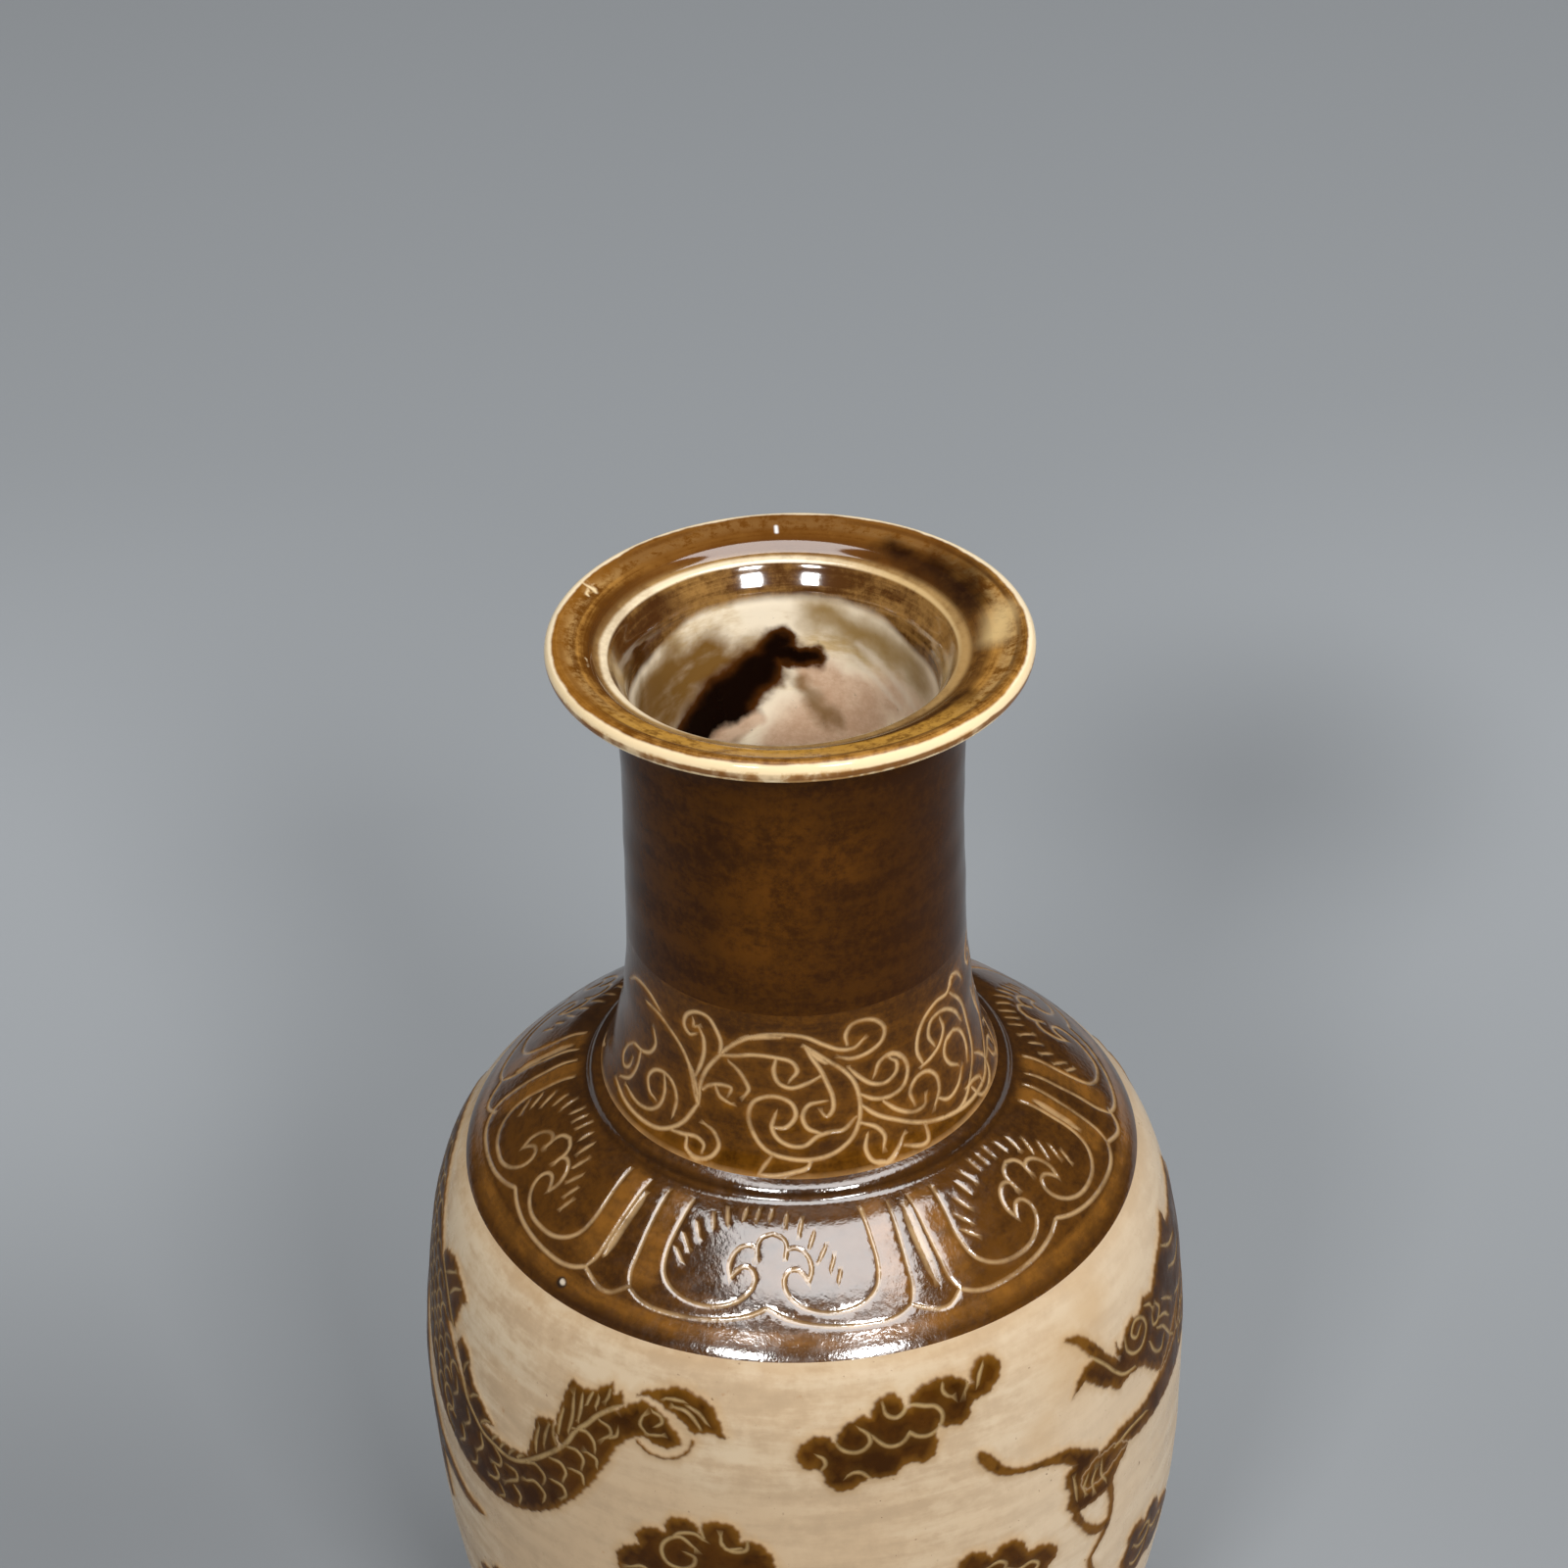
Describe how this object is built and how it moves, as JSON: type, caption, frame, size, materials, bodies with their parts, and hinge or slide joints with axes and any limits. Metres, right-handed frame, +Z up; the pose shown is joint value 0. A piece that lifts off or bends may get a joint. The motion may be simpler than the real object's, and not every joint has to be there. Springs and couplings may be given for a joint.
{
  "type": "ceramic bottle",
  "caption": "Tall stoneware bottle with a wide flat mouth, a straight neck, a low collar, a sloping shoulder and a full body that tapers to a foot ring, with carved and raised ornament.",
  "frame": {"origin": "middle of the foot ring's underside, on the surface that the bottle stands on", "axes": "+Z up along the axis that the bottle was turned about, -Y towards the side that was pictured"},
  "size_m": [0.1752, 0.1746, 0.33],
  "materials": {
    "glaze": "glossy dark brown glaze on the mouth, neck and shoulder, carved through to a cream clay; cream body with brown raised ornament"
  },
  "bodies": {
    "root": {"bottle": "glaze"}
  },
  "joints": []
}
